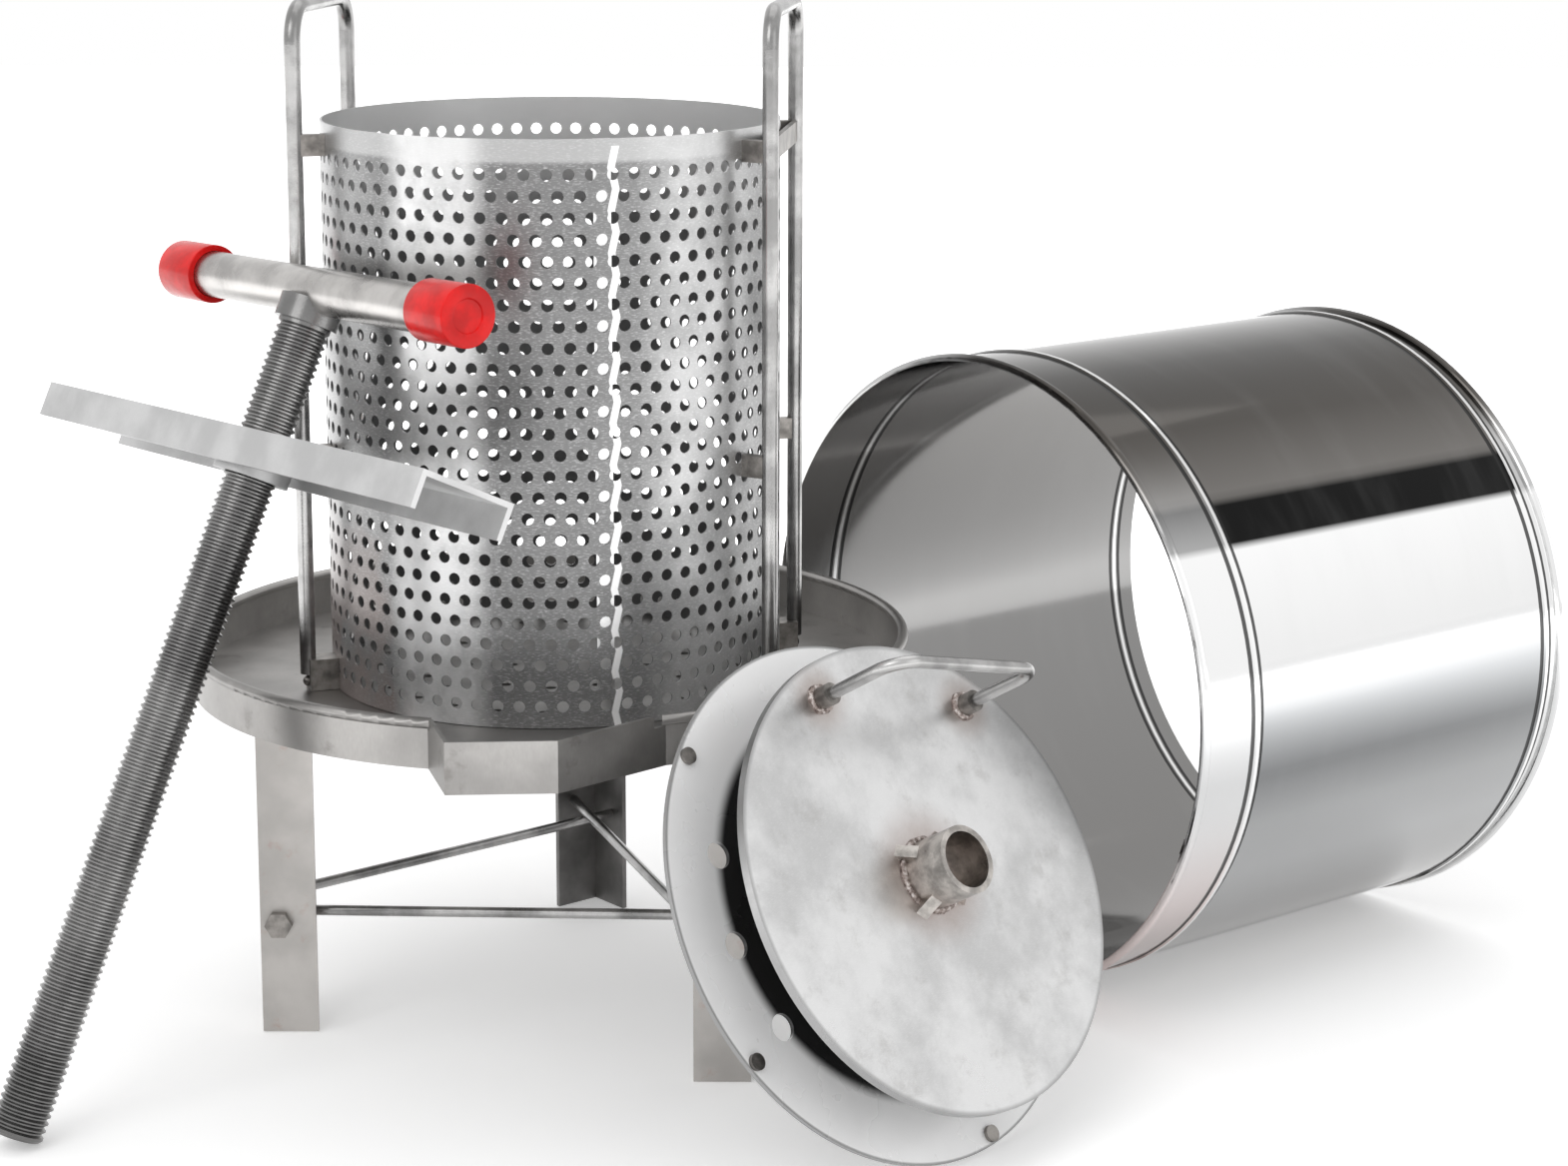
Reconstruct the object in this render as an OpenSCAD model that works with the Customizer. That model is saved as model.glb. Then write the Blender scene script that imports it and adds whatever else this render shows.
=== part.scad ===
// Hand-turned fruit press, laid out in its parts beside its stand.
// Millimetres, +Z up, floor at Z = 0, origin under the middle of the whole layout.

/* [Basket] */
// Outside diameter of the perforated basket
basket_d = 260; // [250:1:270]
// Height of the basket wall
basket_h = 322; // [300:1:340]
// Thickness of the basket sheet
basket_t = 1.2; // [1:0.1:2]
// Thickness of the basket floor
basket_floor_t = 2; // [1.5:0.1:3]
// Distance of the basket to the right of the tray's centre
basket_x = 4; // [0:0.5:8]
// Direction of the seam down the basket, in degrees
basket_seam_turn = -74; // [-85:1:-60]

/* [Uprights] */
// Diameter of the bent upright rods
rod_d = 9; // [7:0.5:11]
// Distance between the two legs of one upright, centre to centre
upright_span = 124; // [110:1:140]
// Gap between the basket wall and each rod
upright_gap = 11.8; // [9:0.1:16]
// Height of the loops above the basket rim
loop_rise = 68; // [50:1:90]
// Centre-line radius of the bends at the top of the loops
loop_bend_r = 20; // [15:1:30]
// Turn of the uprights about the basket, in degrees
upright_turn = -6.5; // [-12:0.5:0]
// Height of the clips that join the rods to the basket
tab_h = 12; // [8:1:16]
// Width of the clips
tab_t = 7; // [4:0.5:8]
// Thickness of the strip that bridges the right upright's rods
bridge_t = 3; // [2:0.5:4]

/* [Tray] */
// Outside diameter of the tray over its rolled rim
tray_d = 418; // [410:1:422]
// Height of the tray's rim above the floor
tray_rim_z = 225; // [215:1:235]
// Depth of the tray inside
tray_depth = 26; // [22:1:32]
// Thickness of the tray sheet
tray_t = 2; // [1.5:0.1:3]
// Radius of the rolled rim
rim_roll_r = 3; // [2.5:0.1:3.5]
// Width of the chute where it leaves the tray
chute_w = 125; // [115:1:150]
// Width of the chute at its front
chute_lip_w = 58; // [50:1:70]
// Reach of the chute in front of the tray wall
chute_reach = 48; // [40:1:60]
// Distance of the chute's front to the left of its base
chute_skew = 23; // [0:1:28]
// Turn of the chute about the tray, in degrees
chute_turn = 3.5; // [0:0.5:6]

/* [Legs] */
// Width of each flange of the leg angles
leg_w = 32; // [28:1:36]
// Thickness of the leg angles
leg_t = 3; // [2.5:0.1:4]
// Distance from the tray's centre to the left leg's corner
leg_left_r = 176; // [165:1:185]
// Direction of the left leg's corner, in degrees
leg_left_turn = 202; // [196:1:208]
// Distance from the tray's centre to the rear leg's corner
leg_rear_r = 179; // [165:1:188]
// Direction of the rear leg's corner, in degrees
leg_rear_turn = 85; // [80:1:90]
// Distance from the tray's centre to the right leg's corner
leg_right_r = 185; // [170:1:190]
// Direction of the right leg's corner, in degrees
leg_right_turn = -50; // [-56:1:-44]
// Diameter of the brace rods
brace_d = 6; // [5:0.5:7]
// Height of the left-to-rear brace at the left leg
brace_a_left_z = 86; // [82:1:95]
// Height of the left-to-rear brace at the rear leg
brace_a_rear_z = 60; // [50:1:61]
// Height of the left-to-right brace at the left leg
brace_b_left_z = 67; // [60:1:72]
// Height of the left-to-right brace at the right leg
brace_b_right_z = 90; // [89:1:100]
// Height of the rear-to-right brace at the rear leg
brace_c_rear_z = 69; // [69:1:76]
// Height of the rear-to-right brace at the right leg
brace_c_right_z = 79; // [74:1:80]
// Diameter of the bolts through the left and right legs
leg_bolt_d = 8; // [6:0.5:10]
// Height of those bolts
leg_bolt_z = 65; // [58:1:72]

/* [Screw and handle] */
// Outside diameter of the screw thread
screw_d = 29; // [26:0.5:30]
// Distance between neighbouring threads
thread_pitch = 4; // [3:0.5:6]
// Depth of the thread
thread_depth = 1.6; // [1:0.1:2]
// Length from the screw's tip to the centre line of the handle
screw_len = 475.6; // [455:0.2:490]
// Outside diameter of the handle tube
handle_d = 26; // [24:0.5:28]
// Wall of the handle tube
handle_t = 2; // [1.5:0.1:3]
// Length of the handle over its caps
handle_len = 300; // [280:1:310]
// Outside diameter of the caps
cap_d = 33; // [31:0.5:36]
// Length of each cap
cap_len = 36; // [30:1:45]
// Lean of the screw from upright, in degrees
screw_lean = 25.3; // [24:0.1:27]
// Direction of that lean, in degrees
screw_lean_turn = 42; // [38:1:45]
// Distance along the handle from the upright that it leans on to the screw
rest_slide = 50.5; // [40:0.5:60]

/* [Cross beam] */
// Length of the beam
beam_len = 412; // [380:1:430]
// Width of the beam's web
beam_w = 57; // [52:1:60]
// Height of the beam's flanges
beam_h = 20; // [18:1:24]
// Thickness of the beam
beam_t = 3; // [2.5:0.1:4]
// Distance from the screw's tip to the top of the beam
beam_place = 391; // [370:1:400]
// Outside diameter of the nut under the beam
nut_d = 42; // [38:1:46]
// Height of the nut
nut_h = 20; // [15:1:24]

/* [Press plate] */
// Diameter of the press plate's disc
disc_d = 254; // [240:1:256]
// Thickness of the disc
disc_t = 5; // [3:0.5:6]
// Outside diameter of the screw collar
collar_d = 37; // [35:1:42]
// Bore of the screw collar
collar_bore = 30.4; // [30.2:0.1:32]
// Height of the screw collar
collar_h = 28; // [20:1:34]
// Diameter of the rod that the plate's handle is bent from
grip_d = 7; // [5:0.5:9]
// Distance between the handle's feet
grip_w = 106; // [90:1:120]
// Height of the handle above the disc
grip_h = 64; // [50:1:75]
// Centre-line radius of the handle's bends
grip_bend_r = 16; // [12:1:22]
// Distance from the disc's centre to the handle
grip_r = 95; // [85:1:98]
// Turn of the handle about the disc's centre, in degrees
grip_turn = -14; // [-20:1:-8]
// Distance between the disc and the drain plate
plate_gap = 38; // [30:1:44]
// Diameter of the hub between them
hub_d = 56; // [46:1:64]
// Diameter of the hub's spigot in the drain plate
spigot_d = 36; // [30:1:40]

/* [Drain plate] */
// Diameter of the drain plate
drain_d = 285; // [280:1:292]
// Thickness of the drain plate
drain_t = 2.5; // [2:0.1:4]
// Number of groups of drain holes
drain_groups = 3; // [2:1:4]
// Number of drain holes in each group
drain_count = 3; // [2:1:4]
// Turn from one drain hole to the next in its group, in degrees
drain_step = 25.5; // [20:0.5:28]
// Diameter of the drain holes
drain_hole_d = 14.5; // [12:0.5:18]
// Radius of the ring of drain holes
drain_ring_r = 108; // [100:1:115]
// Radius of the ring of rivets
rivet_r = 137; // [130:1:137]
// Diameter of each rivet head
rivet_d = 9; // [7:0.5:10]
// Lean of the plates back from upright, in degrees
plate_lean = 30; // [27:0.5:34]
// Direction that the plates face, in degrees
plate_turn = -42; // [-46:1:-38]
// Distance of the plates to the side of that direction
plate_side = -21; // [-35:1:-10]

/* [Barrel] */
// Outside diameter of the barrel over its rolled ends
barrel_d = 380; // [370:1:384]
// Length of the barrel
barrel_len = 310; // [290:1:325]
// Thickness of the barrel sheet
barrel_t = 1.2; // [1:0.1:2]
// Height of the beads and rolled ends above the sheet
bead_h = 3; // [2:0.5:4]
// Distance from the near end to its bead
bead_place = 44; // [36:1:50]
// Distance from the far end to its bead
bead_far = 16; // [12:1:24]
// Width of the seam strip along the barrel
seam_w = 10; // [8:1:14]
// Direction that the barrel's axis runs, in degrees
barrel_turn = 38.5; // [36:0.5:42]
// Distance of the barrel's near end to the right of the tray's centre
barrel_x = 250; // [248:1:275]
// Distance of the barrel's near end behind the tray's centre
barrel_y = 25; // [22:1:45]

/* [Hidden] */
$fn = 96;

// Place of the press axis in the frame, which centres the whole layout on the origin
press_x = -156.236;
press_y = -20.745;
// Clearance between seated pieces that move apart
seat_gap = 0.3;
// Radial clearance of a running fit
run_gap = 0.05;
// Overrun of every cut
over = 1;

basket_r = basket_d / 2;
tray_r = tray_d / 2 - rim_roll_r;
tray_floor_z = tray_rim_z - tray_depth;
leg_top = tray_floor_z - tray_t;
basket_z = tray_floor_z + seat_gap;
rim_z = basket_z + basket_h;

rod_r = rod_d / 2;
// Distance from the basket's axis to each rod, and the plane and spread of an upright
rod_place = basket_r + upright_gap + rod_r;
rod_spread = asin(upright_span / 2 / rod_place);
upright_r = rod_place * cos(rod_spread);
rod_turns = [rod_spread, -rod_spread, 180 + rod_spread, 180 - rod_spread];
upright_top = rim_z + loop_rise - rod_r;
tab_rim_z = rim_z - 1.5 * tab_h;
tab_middle_share = 0.4;
foot_h = 2 * rod_d;
foot_w = 1.6 * rod_d;

// Corner of the chute's base on the tray wall
chute_base = sqrt(pow(tray_r, 2) - pow(chute_w / 2, 2));
chute_left_slope = (chute_w / 2 - chute_skew - chute_lip_w / 2) / chute_reach;
chute_right_slope = (chute_w / 2 + chute_skew - chute_lip_w / 2) / chute_reach;

// Each leg: distance and direction of its corner, and the direction of its first flange
leg_left_at = [leg_left_r, leg_left_turn, 0];
leg_rear_at = [leg_rear_r, leg_rear_turn, leg_rear_turn + 135];
leg_right_at = [leg_right_r, leg_right_turn, 90];
// Places along a flange, and depth in its metal, where the braces end
brace_far_share = 0.75;
brace_mid_share = 0.6;
bolt_share = 0.34;
bolt_head_r = leg_bolt_d;
bolt_head_h = 0.6 * leg_bolt_d;
bolt_tail = 0.3 * leg_bolt_d;

screw_r = screw_d / 2;
thread_root = screw_r - thread_depth;
handle_r = handle_d / 2;
cap_r = cap_d / 2;
cap_end_t = 1.5 * handle_t;
saddle_wall = 3;
thread_end = screw_len - handle_r - 2 * saddle_wall;
// Turn of the handle and of the beam about the screw, in degrees
screw_turn = -4;
beam_turn = -4.7;
// Rod that the handle leans on
lean_rod_turn = 180 + upright_turn + rod_spread;
lean_rod_x = basket_x + rod_place * cos(lean_rod_turn);
lean_rod_y = rod_place * sin(lean_rod_turn);
// Direction square to the handle in plan, and the handle's distance from that rod
lean_turn = screw_lean_turn + atan(tan(screw_turn) * cos(screw_lean));
lean_gap = handle_r + rod_r + seat_gap;
head_x = lean_rod_x - lean_gap * cos(lean_turn) + rest_slide * sin(lean_turn);
head_y = lean_rod_y - lean_gap * sin(lean_turn) - rest_slide * cos(lean_turn);
screw_run = screw_len * sin(screw_lean);
tip_x = head_x - screw_run * cos(screw_lean_turn);
tip_y = head_y - screw_run * sin(screw_lean_turn);
tip_z = thread_root * sin(screw_lean);

drain_r = drain_d / 2;
disc_r = disc_d / 2;
spigot_r = spigot_d / 2;
// Direction of the middle of the first group of drain holes, in degrees
drain_turn = 268.8;
rivet_turn = 66;
// Height of the drain plate's back centre when its edge stands on the floor
plate_z = drain_r * cos(plate_lean);
// Distance of that centre from the tray's when its back rests on the rolled rim
plate_out = tray_r + (rim_roll_r + seat_gap) / cos(plate_lean)
    + (tray_rim_z - rim_roll_r - plate_z) * tan(plate_lean);

barrel_r = barrel_d / 2;
shell_r = barrel_r - bead_h;

// Frames of the five loose groups
module on_press() {
    translate([press_x, press_y, 0]) children();
}

module on_basket() {
    on_press() translate([basket_x, 0, 0]) children();
}

module in_lean() {
    on_press()
        translate([tip_x, tip_y, tip_z])
            rotate([0, 0, screw_lean_turn])
                rotate([0, screw_lean, 0])
                    children();
}

module in_plates() {
    on_press()
        rotate([0, 0, plate_turn])
            translate([plate_out, plate_side, plate_z])
                rotate([0, 90 - plate_lean, 0])
                    children();
}

module on_disc() {
    in_plates() translate([0, 0, drain_t + plate_gap]) children();
}

module in_barrel() {
    on_press()
        translate([barrel_x, barrel_y, barrel_r])
            rotate([0, 0, barrel_turn])
                rotate([0, 90, 0])
                    children();
}

// Shared shapes
module ring(outer_r, inner_r, h) {
    difference() {
        cylinder(r = outer_r, h = h);
        translate([0, 0, -over]) cylinder(r = inner_r, h = h + 2 * over);
    }
}

module rod_between(a, b, d) {
    run = b - a;
    len = norm(run);
    translate(a)
        rotate([0, acos(run[2] / len), atan2(run[1], run[0])])
            cylinder(d = d, h = len, $fn = 48);
}

// Rod bent to an upturned U in the XZ plane, from Z = 0 to the centre line at height h
module bent_rod(d, w, h, bend_r) {
    side = h - bend_r;
    for (s = [-1, 1])
        translate([s * w / 2, 0, 0]) cylinder(d = d, h = side, $fn = 48);
    for (s = [0, 1])
        mirror([s, 0, 0])
            translate([w / 2 - bend_r, 0, side])
                rotate([90, 0, 0])
                    rotate_extrude(angle = 90, $fn = 96)
                        translate([bend_r, 0]) circle(d = d, $fn = 48);
    translate([-w / 2 + bend_r, 0, h])
        rotate([0, 90, 0])
            cylinder(d = d, h = w - 2 * bend_r, $fn = 48);
}

// Stand
// Plan of the chute, or of its inside when shrunk by a wall
module chute_outline(wall, back) {
    left_wall = wall * sqrt(1 + pow(chute_left_slope, 2));
    right_wall = wall * sqrt(1 + pow(chute_right_slope, 2));
    front = chute_reach - wall;
    polygon([
        [-chute_w / 2 - chute_left_slope * back + left_wall, -chute_base + back],
        [chute_w / 2 + chute_right_slope * back - right_wall, -chute_base + back],
        [chute_w / 2 - chute_right_slope * front - right_wall, -chute_base - front],
        [-chute_w / 2 + chute_left_slope * front + left_wall, -chute_base - front]
    ]);
}

module rim_roll() {
    translate([0, 0, tray_rim_z - rim_roll_r])
        rotate_extrude($fn = 180)
            translate([tray_r, 0]) circle(r = rim_roll_r, $fn = 32);
}

module tray_pan() {
    mouth_w = chute_w - 2 * tray_t;
    mouth_back = chute_base - 4 * tray_t;
    color("silver")
        on_press()
            difference() {
                union() {
                    translate([0, 0, leg_top])
                        difference() {
                            cylinder(r = tray_r, h = tray_depth + tray_t - rim_roll_r, $fn = 180);
                            translate([0, 0, tray_t])
                                cylinder(r = tray_r - tray_t, h = tray_depth, $fn = 180);
                        }
                    rim_roll();
                }
                rotate([0, 0, chute_turn])
                    translate([-mouth_w / 2, -tray_d / 2 - over, tray_floor_z])
                        cube([mouth_w, tray_d / 2 + over - mouth_back, tray_depth + over]);
            }
}

module pour_chute() {
    color("silver")
        on_press()
            difference() {
                translate([0, 0, leg_top])
                    linear_extrude(tray_depth + tray_t)
                        rotate(chute_turn)
                            chute_outline(0, tray_t);
                translate([0, 0, tray_floor_z])
                    linear_extrude(tray_depth + over)
                        rotate(chute_turn)
                            chute_outline(tray_t, 2 * tray_t);
                translate([0, 0, leg_top - over])
                    cylinder(r = tray_r, h = tray_depth + tray_t + 2 * over, $fn = 180);
                translate([0, 0, tray_rim_z - 2 * rim_roll_r - seat_gap])
                    cylinder(
                        r = tray_r + rim_roll_r + seat_gap,
                        h = 2 * rim_roll_r + seat_gap + over,
                        $fn = 180
                    );
            }
}

module at_leg(leg) {
    rotate([0, 0, leg[1]])
        translate([leg[0], 0, 0])
            rotate([0, 0, leg[2] - leg[1]])
                children();
}

// Steel angle with its corner at the leg's place and its flanges along X and Y
module leg_shape(leg) {
    at_leg(leg)
        difference() {
            cube([leg_w, leg_w, leg_top]);
            translate([leg_t, leg_t, -over])
                cube([leg_w, leg_w, leg_top + 2 * over]);
        }
}

module bolted_leg(leg) {
    difference() {
        leg_shape(leg);
        at_leg(leg)
            translate([bolt_share * leg_w, -over, leg_bolt_z])
                rotate([-90, 0, 0])
                    cylinder(d = leg_bolt_d, h = leg_t + 2 * over, $fn = 48);
    }
}

module leg_left() {
    color("gainsboro")
        on_press() bolted_leg(leg_left_at);
}

module leg_rear() {
    color("dimgray")
        on_press() leg_shape(leg_rear_at);
}

module leg_right() {
    color("gainsboro")
        on_press() bolted_leg(leg_right_at);
}

// Point in a leg's flanges, given along its first and second flange
function leg_spot(leg, x, y, z) = [
    leg[0] * cos(leg[1]) + x * cos(leg[2]) - y * sin(leg[2]),
    leg[0] * sin(leg[1]) + x * sin(leg[2]) + y * cos(leg[2]),
    z
];

// Brace between two points, trimmed to the flanges of its two legs
module brace(leg_a, a, leg_b, b) {
    color("gray")
        on_press()
            difference() {
                rod_between(a, b, brace_d);
                leg_shape(leg_a);
                leg_shape(leg_b);
            }
}

module brace_left_rear() {
    depth = brace_mid_share * leg_t;
    brace(
        leg_left_at,
        leg_spot(leg_left_at, brace_far_share * leg_w, depth, brace_a_left_z),
        leg_rear_at,
        leg_spot(leg_rear_at, depth, brace_mid_share * leg_w, brace_a_rear_z)
    );
}

module brace_right_left() {
    depth = brace_mid_share * leg_t;
    brace(
        leg_left_at,
        leg_spot(leg_left_at, depth, brace_mid_share * leg_w, brace_b_left_z),
        leg_right_at,
        leg_spot(leg_right_at, brace_mid_share * leg_w, depth, brace_b_right_z)
    );
}

module brace_rear_right() {
    depth = brace_mid_share * leg_t;
    brace(
        leg_rear_at,
        leg_spot(leg_rear_at, brace_mid_share * leg_w, depth, brace_c_rear_z),
        leg_right_at,
        leg_spot(leg_right_at, depth, brace_mid_share * leg_w, brace_c_right_z)
    );
}

// Runs its children at each bolt, on the outer face of the flange, with Z out of it
module at_leg_bolts() {
    on_press()
        for (leg = [leg_left_at, leg_right_at])
            at_leg(leg)
                translate([bolt_share * leg_w, 0, leg_bolt_z])
                    rotate([90, 0, 0])
                        children();
}

module leg_bolts() {
    shank = leg_t + bolt_head_h + bolt_tail;
    color("dimgray")
        at_leg_bolts() {
            cylinder(r = bolt_head_r, h = bolt_head_h, $fn = 6);
            translate([0, 0, -shank])
                cylinder(d = leg_bolt_d, h = shank + bolt_head_h / 2, $fn = 48);
        }
}

module leg_nuts() {
    color("dimgray")
        at_leg_bolts()
            translate([0, 0, -leg_t - bolt_head_h])
                difference() {
                    cylinder(r = bolt_head_r, h = bolt_head_h, $fn = 6);
                    translate([0, 0, -over])
                        cylinder(d = leg_bolt_d, h = bolt_head_h + 2 * over, $fn = 48);
                }
}

// Basket
module basket_wall() {
    color("lightgray")
        on_basket()
            translate([0, 0, basket_z])
                difference() {
                    cylinder(r = basket_r, h = basket_h, $fn = 180);
                    translate([0, 0, -over])
                        cylinder(r = basket_r - basket_t, h = basket_h + 2 * over, $fn = 180);
                }
}

module basket_floor() {
    floor_hole_r = 3;
    floor_rings = [1, 2, 3, 4];
    color("darkgray")
        on_basket()
            translate([0, 0, basket_z])
                difference() {
                    cylinder(r = basket_r - basket_t, h = basket_floor_t, $fn = 180);
                    for (ring_n = floor_rings, k = [0 : 6 * ring_n - 1])
                        rotate([0, 0, 60 * k / ring_n])
                            translate([ring_n * basket_r / 5, 0, -over])
                                cylinder(r = floor_hole_r, h = basket_floor_t + 2 * over, $fn = 32);
                }
}

// Strip inside the wall, where the rolled sheet closes
module basket_seam() {
    strip_w = 8 * basket_t;
    inner_r = basket_r - basket_t - seat_gap;
    color("gray")
        on_basket()
            rotate([0, 0, basket_seam_turn])
                translate([0, 0, basket_z + basket_floor_t])
                    intersection() {
                        ring(inner_r, inner_r - basket_t, basket_h - basket_floor_t);
                        translate([0, -strip_w / 2, 0])
                            cube([basket_r, strip_w, basket_h]);
                    }
}

// One upright: side 1 on the right, -1 on the left, its plane square to the basket's radius
module upright(side) {
    base = basket_z + foot_h / 2;
    color("darkgray")
        on_basket()
            rotate([0, 0, upright_turn])
                translate([side * upright_r, 0, base])
                    rotate([0, 0, 90])
                        bent_rod(rod_d, upright_span, upright_top - base, loop_bend_r);
}

module upright_left() {
    upright(-1);
}

module upright_right() {
    upright(1);
}

// Runs its children at the basket's axis, with X towards each of the four rods
module at_rods() {
    on_basket()
        for (turn = rod_turns)
            rotate([0, 0, upright_turn + turn])
                children();
}

// Clips that bridge the gap between the rods and the wall at one height
module tabs_at(z) {
    color("dimgray")
        at_rods()
            difference() {
                translate([0, -tab_t / 2, z])
                    cube([rod_place, tab_t, tab_h]);
                translate([0, 0, z - over])
                    cylinder(r = basket_r, h = tab_h + 2 * over, $fn = 180);
                translate([rod_place, 0, z - over])
                    cylinder(d = rod_d, h = tab_h + 2 * over, $fn = 48);
            }
}

module rim_tabs() {
    tabs_at(tab_rim_z);
}

module middle_tabs() {
    tabs_at(basket_z + tab_middle_share * basket_h);
}

// Strip between the two rods of the right upright, level with the clips
module rim_bridge() {
    color("dimgray")
        on_basket()
            rotate([0, 0, upright_turn])
                difference() {
                    translate([upright_r - bridge_t / 2, -upright_span / 2, tab_rim_z])
                        cube([bridge_t, upright_span, tab_h]);
                    for (side = [-1, 1])
                        translate([upright_r, side * upright_span / 2, tab_rim_z - over])
                            cylinder(d = rod_d, h = tab_h + 2 * over, $fn = 48);
                    for (side = [-1, 1])
                        rotate([0, 0, side * rod_spread])
                            translate([0, -tab_t / 2, tab_rim_z - over])
                                cube([rod_place, tab_t, tab_h + 2 * over]);
                }
}

// Blocks that hold the lower ends of the rods off the wall
module upright_feet() {
    color("dimgray")
        at_rods()
            difference() {
                translate([0, -foot_w / 2, basket_z])
                    cube([rod_place, foot_w, foot_h]);
                translate([rod_place, 0, basket_z + foot_h / 2])
                    cylinder(d = rod_d, h = foot_h, $fn = 48);
                translate([0, 0, basket_z - over])
                    cylinder(r = basket_r, h = foot_h + 2 * over, $fn = 180);
            }
}

// Domed nuts on the outer faces of the foot blocks, below the rods' ends
module foot_nuts() {
    nut_r = 0.35 * rod_d;
    color("gray")
        at_rods()
            translate([rod_place, 0, basket_z + foot_h / 4])
                rotate([0, 90, 0])
                    intersection() {
                        sphere(r = nut_r, $fn = 48);
                        cylinder(r = rod_d, h = rod_d);
                    }
}

// Screw, handle and beam
function thread_outline() =
    let (land = thread_pitch / 5,
         flank = (thread_pitch - 2 * land) / 2,
         start = 2 * thread_depth,
         count = floor((thread_end - start) / thread_pitch))
    concat(
        [[0, 0], [thread_root, 0], [screw_r, thread_depth]],
        [for (k = [0 : count - 1], p = [0:3])
            let (z = start + k * thread_pitch)
            p == 0 ? [screw_r, z]
            : p == 1 ? [thread_root, z + flank]
            : p == 2 ? [thread_root, z + flank + land]
            : [screw_r, z + 2 * flank + land]],
        [[screw_r, thread_end], [0, thread_end]]
    );

// Solid that fills the handle tube's outline
module handle_core(len) {
    rotate([0, 0, screw_turn])
        translate([0, -len / 2, screw_len])
            rotate([-90, 0, 0])
                cylinder(r = handle_r, h = len);
}

module press_screw() {
    color("gray")
        in_lean()
            rotate_extrude($fn = 96)
                polygon(thread_outline());
}

// Head of the screw, saddled to the round of the handle
module head_saddle() {
    color("dimgray")
        in_lean()
            difference() {
                translate([0, 0, thread_end])
                    cylinder(r = screw_r + saddle_wall, h = handle_r);
                handle_core(handle_len);
            }
}

module handle_tube() {
    tube_len = handle_len - 2 * cap_end_t;
    color("silver")
        in_lean()
            rotate([0, 0, screw_turn])
                translate([0, -tube_len / 2, screw_len])
                    rotate([-90, 0, 0])
                        ring(handle_r, handle_r - handle_t, tube_len);
}

// Cap over one end of the handle, with a rounded end
module handle_cap(side) {
    round_r = 0.3 * cap_r;
    color("red")
        in_lean()
            rotate([0, 0, screw_turn])
                translate([0, side * (handle_len / 2 - cap_len), screw_len])
                    rotate([-90 * side, 0, 0])
                        difference() {
                            rotate_extrude($fn = 96) {
                                square([cap_r - round_r, cap_len]);
                                square([cap_r, cap_len - round_r]);
                                translate([cap_r - round_r, cap_len - round_r])
                                    intersection() {
                                        circle(r = round_r, $fn = 64);
                                        square(round_r);
                                    }
                            }
                            translate([0, 0, -over])
                                cylinder(r = handle_r, h = cap_len - cap_end_t + over);
                        }
}

module handle_cap_left() {
    handle_cap(1);
}

module handle_cap_right() {
    handle_cap(-1);
}

// Channel with its web towards the handle and its flanges towards the tip
module cross_beam() {
    color("gainsboro")
        in_lean()
            difference() {
                rotate([0, 0, beam_turn])
                    difference() {
                        translate([-beam_w / 2, -beam_len / 2, beam_place - beam_h])
                            cube([beam_w, beam_len, beam_h]);
                        translate([
                            -beam_w / 2 + beam_t,
                            -beam_len / 2 - over,
                            beam_place - beam_h - over
                        ])
                            cube([beam_w - 2 * beam_t, beam_len + 2 * over, beam_h - beam_t + over]);
                    }
                translate([0, 0, beam_place - beam_h])
                    cylinder(r = screw_r + run_gap, h = 2 * beam_h);
            }
}

module beam_nut() {
    color("dimgray")
        in_lean()
            translate([0, 0, beam_place - beam_t - nut_h])
                ring(nut_d / 2, screw_r + run_gap, nut_h);
}

// Press plate
module press_disc() {
    color("silver")
        on_disc()
            cylinder(r = disc_r, h = disc_t, $fn = 180);
}

module screw_collar() {
    color("silver")
        on_disc()
            translate([0, 0, disc_t])
                ring(collar_d / 2, collar_bore / 2, collar_h);
}

module collar_gussets() {
    gusset_t = 0.2 * collar_d;
    gusset_w = 0.2 * collar_d;
    color("dimgray")
        on_disc()
            for (k = [0:3])
                rotate([0, 0, 90 * k + 45])
                    difference() {
                        translate([0, gusset_t / 2, disc_t])
                            rotate([90, 0, 0])
                                linear_extrude(gusset_t)
                                    polygon([
                                        [0, 0],
                                        [collar_d / 2 + gusset_w, 0],
                                        [collar_d / 2, 0.35 * collar_h],
                                        [0, 0.35 * collar_h]
                                    ]);
                        translate([0, 0, disc_t - over])
                            cylinder(d = collar_d, h = collar_h);
                    }
}

// Frame at the middle of the plate's handle, its rod plane across the radius
module at_grip() {
    on_disc()
        rotate([0, 0, grip_turn])
            translate([-grip_r, 0, disc_t])
                rotate([0, 0, 90])
                    children();
}

module plate_handle() {
    color("silver")
        at_grip()
            bent_rod(grip_d, grip_w, grip_h - grip_d / 2, grip_bend_r);
}

module handle_feet() {
    foot_r = 0.85 * grip_d;
    foot_len = 1.4 * grip_d;
    color("dimgray")
        at_grip()
            for (s = [-1, 1])
                translate([s * grip_w / 2, 0, 0])
                    ring(foot_r, grip_d / 2, foot_len);
}

// Spacer behind the disc, with a spigot that seats in the drain plate
module plate_hub() {
    color("gray")
        in_plates() {
            translate([0, 0, drain_t + seat_gap])
                cylinder(d = hub_d, h = plate_gap - seat_gap);
            cylinder(r = spigot_r - run_gap, h = drain_t + 2 * seat_gap);
        }
}

module drain_plate() {
    color("whitesmoke")
        in_plates()
            difference() {
                cylinder(r = drain_r, h = drain_t, $fn = 180);
                translate([0, 0, -over])
                    cylinder(r = spigot_r, h = drain_t + 2 * over);
                for (group = [0 : drain_groups - 1], k = [0 : drain_count - 1])
                    rotate([0, 0, drain_turn + 360 * group / drain_groups
                            + drain_step * (k - (drain_count - 1) / 2)])
                        translate([drain_ring_r, 0, -over])
                            cylinder(d = drain_hole_d, h = drain_t + 2 * over, $fn = 48);
            }
}

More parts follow.
